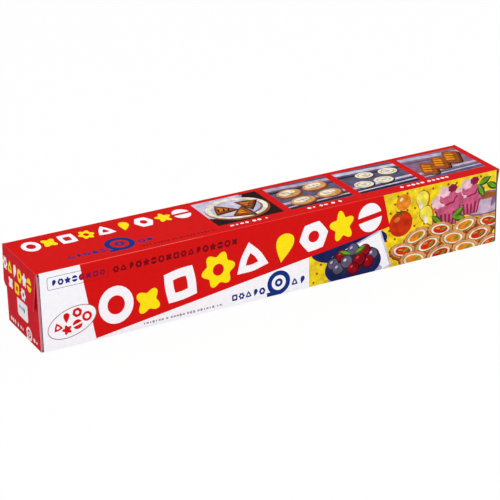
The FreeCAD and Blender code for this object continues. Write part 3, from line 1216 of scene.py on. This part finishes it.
ROLL_Y = (core_low.y + core_high.y) / 2
ROLL_Z = (core_low.z + core_high.z) / 2
FOIL_RADIUS = ROLL_Z - foil_low.z
FOIL_INNER_RADIUS = (core_high.z - core_low.z) / 2 + 0.05
FOIL_HALF = foil_high.x
FOIL_RINGS = 16
RING_STAGGER = 0.22
FOIL_STATIONS = 120
FOIL_STEPS = 144
FOIL_WRINKLE = 0.06
TAIL_RADIUS = 27.0
TAIL_ROOT_ANGLE = math.radians(118.0)
TAIL_ROOT_DEPTH = 0.05
TAIL_LENGTH = 15.0
TAIL_THICKNESS = 0.06
TAIL_COLUMNS = 140
TAIL_ROWS = 18
TAIL_CRINKLE = 0.3
SEAM_PITCH = 95.0 * MM
SEAM_WIDTH = 0.012
SEAM_TONE = 0.45
CORE_FIBRE = (0.3, 1.0, 1.0)
CORE_SPECKS = 900.0
CORE_TONES = (0.8, 1.12)
CORE_GRAIN = 1400.0
CORE_ROUGH = 0.88
CORE_RELIEF = 0.00005
METAL_CLOUDS = 60.0
METAL_TONES = (0.94, 1.03)
METAL_WAVES = 130.0
WAVE_STRETCH = (0.7, 1.0, 1.0)
FOIL_TONE = (0.76, 0.77, 0.78)
STEEL_TONE = (0.62, 0.62, 0.63)
FOIL_LOOK = ((0.12, 0.3), (30.0, 1.0, 1.0), 60.0, 0.00006, 3.0)
STEEL_LOOK = ((0.22, 0.4), (1.0, 30.0, 30.0), 120.0, 0.000015, 1.0)


def metal_material(name, colour, rough, stretch, scale, relief, crumple):
    """Bright metal with fine lines along one direction, uneven polish and crumples."""
    material, tree = new_material(name)
    lines = add_noise(tree, scale, 3.0, stretch)
    tinted = toned(tree, colour, add_noise(tree, METAL_CLOUDS, 2.0), METAL_TONES)
    waves = add_noise(tree, METAL_WAVES, 3.0, WAVE_STRETCH)
    height = add_math(tree, "MULTIPLY_ADD", waves, crumple, lines)
    dress(tree, tinted, add_range(tree, lines, *rough), height, relief, "Metallic", 1.0)
    return material


def kraft_paper():
    """Brown core paper with fibres and the seam that winds round the tube."""
    material, tree = new_material("kraft_paper")
    base = linear(CORE_BROWN)
    tinted = toned(tree, base, add_noise(tree, CORE_SPECKS, 6.0, CORE_FIBRE), CORE_TONES)
    place = add_node(tree, "TexCoord", {}, "Object")
    x, y, z = [add_node(tree, "SeparateXYZ", {"Vector": place}, axis) for axis in "XYZ"]
    side = add_math(tree, "SUBTRACT", y, ROLL_Y * MM)
    rise = add_math(tree, "SUBTRACT", z, ROLL_Z * MM)
    share = add_math(tree, "DIVIDE", add_math(tree, "ARCTAN2", rise, side), 2 * math.pi)
    along = add_math(tree, "DIVIDE", x, SEAM_PITCH)
    phase = add_math(tree, "FRACT", add_math(tree, "ADD", share, along))
    seam = add_math(tree, "LESS_THAN", phase, SEAM_WIDTH)
    lined = add_mix(tree, seam, tinted, shaded(base, SEAM_TONE))
    grain = add_noise(tree, CORE_GRAIN, 4.0, CORE_FIBRE)
    dress(tree, lined, CORE_ROUGH, grain, CORE_RELIEF, SHEEN, BARE_SHEEN)
    return material


def winding_profile():
    """Closed outline of the winding as (x, radius, share of the outer wrinkles)."""
    draw = random.Random(7)
    build = FOIL_RADIUS - FOIL_INNER_RADIUS
    end = []
    for ring in range(FOIL_RINGS):
        x = FOIL_HALF - draw.uniform(0.0, RING_STAGGER)
        for share in (ring, ring + 1):
            end.append((x, FOIL_INNER_RADIUS + build * share / FOIL_RINGS, 0.0))
    profile = [(-x, radius, wrinkle) for x, radius, wrinkle in end]
    for station in range(1, FOIL_STATIONS):
        x = FOIL_HALF * (2 * station / FOIL_STATIONS - 1)
        profile.append((x, FOIL_RADIUS, 1.0))
    return profile + list(reversed(end))


def foil_winding():
    """The wound foil with stepped ends, and its crinkled free end over the front."""
    bm = bmesh.new()
    profile = winding_profile()
    rings = []
    for step in range(FOIL_STEPS):
        angle = 2 * math.pi * step / FOIL_STEPS
        ring = []
        for x, radius, wrinkle in profile:
            seed = Vector((x / 16, 3 * math.cos(angle), 3 * math.sin(angle)))
            radius -= wrinkle * FOIL_WRINKLE * abs(noise.noise(seed))
            y = ROLL_Y + radius * math.cos(angle)
            z = ROLL_Z + radius * math.sin(angle)
            ring.append(bm.verts.new(Vector((x, y, z)) * MM))
        rings.append(ring)
    for ring, following in zip(rings, rings[1:] + rings[:1]):
        for here, there in zip(range(len(profile)), [*range(1, len(profile)), 0]):
            bm.faces.new([ring[here], ring[there], following[there], following[here]])
    add_free_end(bm)
    return finish_mesh("foil_winding", bm, ["foil"])


def free_end_point(x, along, height):
    """A point of the free end, from its place along the curve and its crinkle."""
    back_off = TAIL_RADIUS - FOIL_RADIUS
    centre_y = ROLL_Y - back_off * math.cos(TAIL_ROOT_ANGLE)
    centre_z = ROLL_Z - back_off * math.sin(TAIL_ROOT_ANGLE)
    angle = TAIL_ROOT_ANGLE + along / TAIL_RADIUS
    free = (along / TAIL_LENGTH) ** 1.5
    crinkle = noise.noise(Vector((x / 7, along / 5, 2.5)))
    crinkle += 0.5 * noise.noise(Vector((x / 2.6, along / 2.2, 8.5)))
    radius = TAIL_RADIUS - TAIL_ROOT_DEPTH + height + TAIL_CRINKLE * free * crinkle
    y = centre_y + radius * math.cos(angle)
    z = centre_z + radius * math.sin(angle)
    return Vector((x, y, z)) * MM


def add_free_end(bm):
    """The free end as a thin closed sheet."""
    sheets = []
    for height in (TAIL_THICKNESS, 0.0):
        sheet = []
        for row in range(TAIL_ROWS + 1):
            line = []
            for column in range(TAIL_COLUMNS + 1):
                x = FOIL_HALF * (2 * column / TAIL_COLUMNS - 1)
                reach = TAIL_LENGTH - 0.25 * abs(noise.noise(Vector((x / 5, 0.5, 4.5))))
                point = free_end_point(x, reach * row / TAIL_ROWS, height)
                line.append(bm.verts.new(point))
            sheet.append(line)
        sheets.append(sheet)
    for row in range(TAIL_ROWS):
        for column in range(TAIL_COLUMNS):
            for sheet in sheets:
                near, far = sheet[row], sheet[row + 1]
                bm.faces.new([near[column], near[column + 1], far[column + 1], far[column]])
    border = [(0, column) for column in range(TAIL_COLUMNS)]
    border += [(row, TAIL_COLUMNS) for row in range(TAIL_ROWS)]
    border += [(TAIL_ROWS, column) for column in range(TAIL_COLUMNS, 0, -1)]
    border += [(row, 0) for row in range(TAIL_ROWS, 0, -1)]
    pairs = [[sheet[row][column] for sheet in sheets] for row, column in border]
    for here, there in zip(pairs, pairs[1:] + pairs[:1]):
        bm.faces.new([here[0], there[0], there[1], here[1]])


def make_contents():
    """The roll in the tray and the blade on the flap."""
    MATERIALS["foil"] = metal_material("foil", FOIL_TONE, *FOIL_LOOK)
    blade_steel = metal_material("blade_steel", STEEL_TONE, *STEEL_LOOK)
    winding = foil_winding()
    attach(winding, "carton")
    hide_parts("foil_roll")
    for node, material in (("cutter_blade", blade_steel), ("core_tube", kraft_paper())):
        for material_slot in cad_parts[node].material_slots:
            material_slot.material = material


make_contents()

# Floor, light and camera

CAMERA_AZIMUTH = 27.7932
CAMERA_ELEVATION = 23.8046
CAMERA_ROLL = -1.1344
CAMERA_DISTANCE = 946.4472
CAMERA_ASIDE = -6.3034
CAMERA_RAISED = 15.0836
FOCAL_PIXELS = 1884.3679
PICTURE_PIXELS = 500
SENSOR = 36.0
NEAREST_SEEN = 0.01


def make_camera():
    """Camera at the photograph's place, fitted to the carton's corners."""
    azimuth = math.radians(CAMERA_AZIMUTH)
    elevation = math.radians(CAMERA_ELEVATION)
    roll = math.radians(CAMERA_ROLL)
    flat = math.cos(elevation)
    aim = (math.sin(azimuth) * flat, math.cos(azimuth) * flat, -math.sin(elevation))
    forward = Vector(aim)
    level = Vector((math.cos(azimuth), -math.sin(azimuth), 0))
    upright = level.cross(forward)
    right = level * math.cos(roll) + upright * math.sin(roll)
    up = upright * math.cos(roll) - level * math.sin(roll)
    place = right * CAMERA_ASIDE + up * CAMERA_RAISED - forward * CAMERA_DISTANCE
    data = bpy.data.cameras.new("camera")
    data.sensor_width = SENSOR
    data.lens = SENSOR * FOCAL_PIXELS / PICTURE_PIXELS
    data.clip_start = NEAREST_SEEN
    camera = bpy.data.objects.new("camera", data)
    turn = Matrix((right, up, -forward)).transposed().to_4x4()
    camera.matrix_world = Matrix.Translation(place * MM) @ turn
    bpy.context.scene.collection.objects.link(camera)
    bpy.context.scene.camera = camera


FLOOR_HALF = 4.0
FLOOR_COLOUR = (0.94, 0.94, 0.94, 1)
FLOOR_GLOW = 0.96
WORLD_LIGHT = 0.57
HORIZON_TOP = 0.1
CEILING_FOOT = 0.35
CEILING_GLOSS = 0.2


def ray_kinds(tree):
    """1 for rays from the camera, and 1 for rays from gloss or through clear things."""
    path = tree.nodes.new("ShaderNodeLightPath").outputs
    shiny = add_math(tree, "MAXIMUM", path["Is Glossy Ray"], path["Is Transmission Ray"])
    return path["Is Camera Ray"], shiny


def make_floor():
    """Plain pale floor that keeps the shadow and looks white."""
    mesh = bpy.data.meshes.new("floor")
    half = FLOOR_HALF
    corners = [(-half, -half, 0), (half, -half, 0), (half, half, 0), (-half, half, 0)]
    mesh.from_pydata(corners, [], [(0, 1, 2, 3)])
    material, tree = new_material("floor")
    tree.nodes.clear()
    pale = add_node(tree, "BsdfDiffuse", {"Color": FLOOR_COLOUR}, "BSDF")
    glow = add_node(tree, "Emission", {}, "Emission")
    seen = add_math(tree, "MULTIPLY", add_math(tree, "MAXIMUM", *ray_kinds(tree)), FLOOR_GLOW)
    mixed = add_node(tree, "MixShader", {"Fac": seen, 1: pale, 2: glow}, "Shader")
    fill(tree, tree.nodes.new("ShaderNodeOutputMaterial"), {"Surface": mixed})
    mesh.materials.append(material)
    floor = bpy.data.objects.new("floor", mesh)
    bpy.context.scene.collection.objects.link(floor)


def make_world():
    """White where it is seen, a softer ceiling in gloss, and plain light elsewhere."""
    world = bpy.data.worlds.new("studio")
    world.use_nodes = True
    tree = world.node_tree
    direction = add_node(tree, "TexCoord", {}, "Generated")
    height = add_node(tree, "SeparateXYZ", {"Vector": direction}, "Z")
    ceiling = add_range(tree, height, 1.0, CEILING_GLOSS, HORIZON_TOP, CEILING_FOOT)
    seen, shiny = ray_kinds(tree)
    strength = add_node(tree, "Mix", {"Factor": shiny, "A": WORLD_LIGHT, "B": ceiling}, "Result")
    strength = add_node(tree, "Mix", {"Factor": seen, "A": strength, "B": 1.0}, "Result")
    fill(tree, tree.nodes["Background"], {"Color": (1, 1, 1, 1), "Strength": strength})
    bpy.context.scene.world = world


def add_lamp(name, place, target, size, power, in_gloss):
    """Soft square lamp that points at a place. Gloss shows it or leaves it out."""
    data = bpy.data.lights.new(name, "AREA")
    data.shape = "SQUARE"
    data.size = size
    data.energy = power
    lamp = bpy.data.objects.new(name, data)
    lamp.visible_glossy = in_gloss
    lamp.location = place
    lamp.rotation_mode = "QUATERNION"
    aim = Vector(target) - Vector(place)
    lamp.rotation_quaternion = aim.to_track_quat("-Z", "Y")
    bpy.context.scene.collection.objects.link(lamp)


make_camera()
make_floor()
make_world()
add_lamp("overhead", (0.0, -0.1, 1.2), (0, 0, 0), 2.0, 10.0, True)
add_lamp("front", (0.35, -1.3, 0.7), (0, 0, 0.02), 1.15, 4.5, False)

bpy.context.scene.view_settings.view_transform = "Standard"
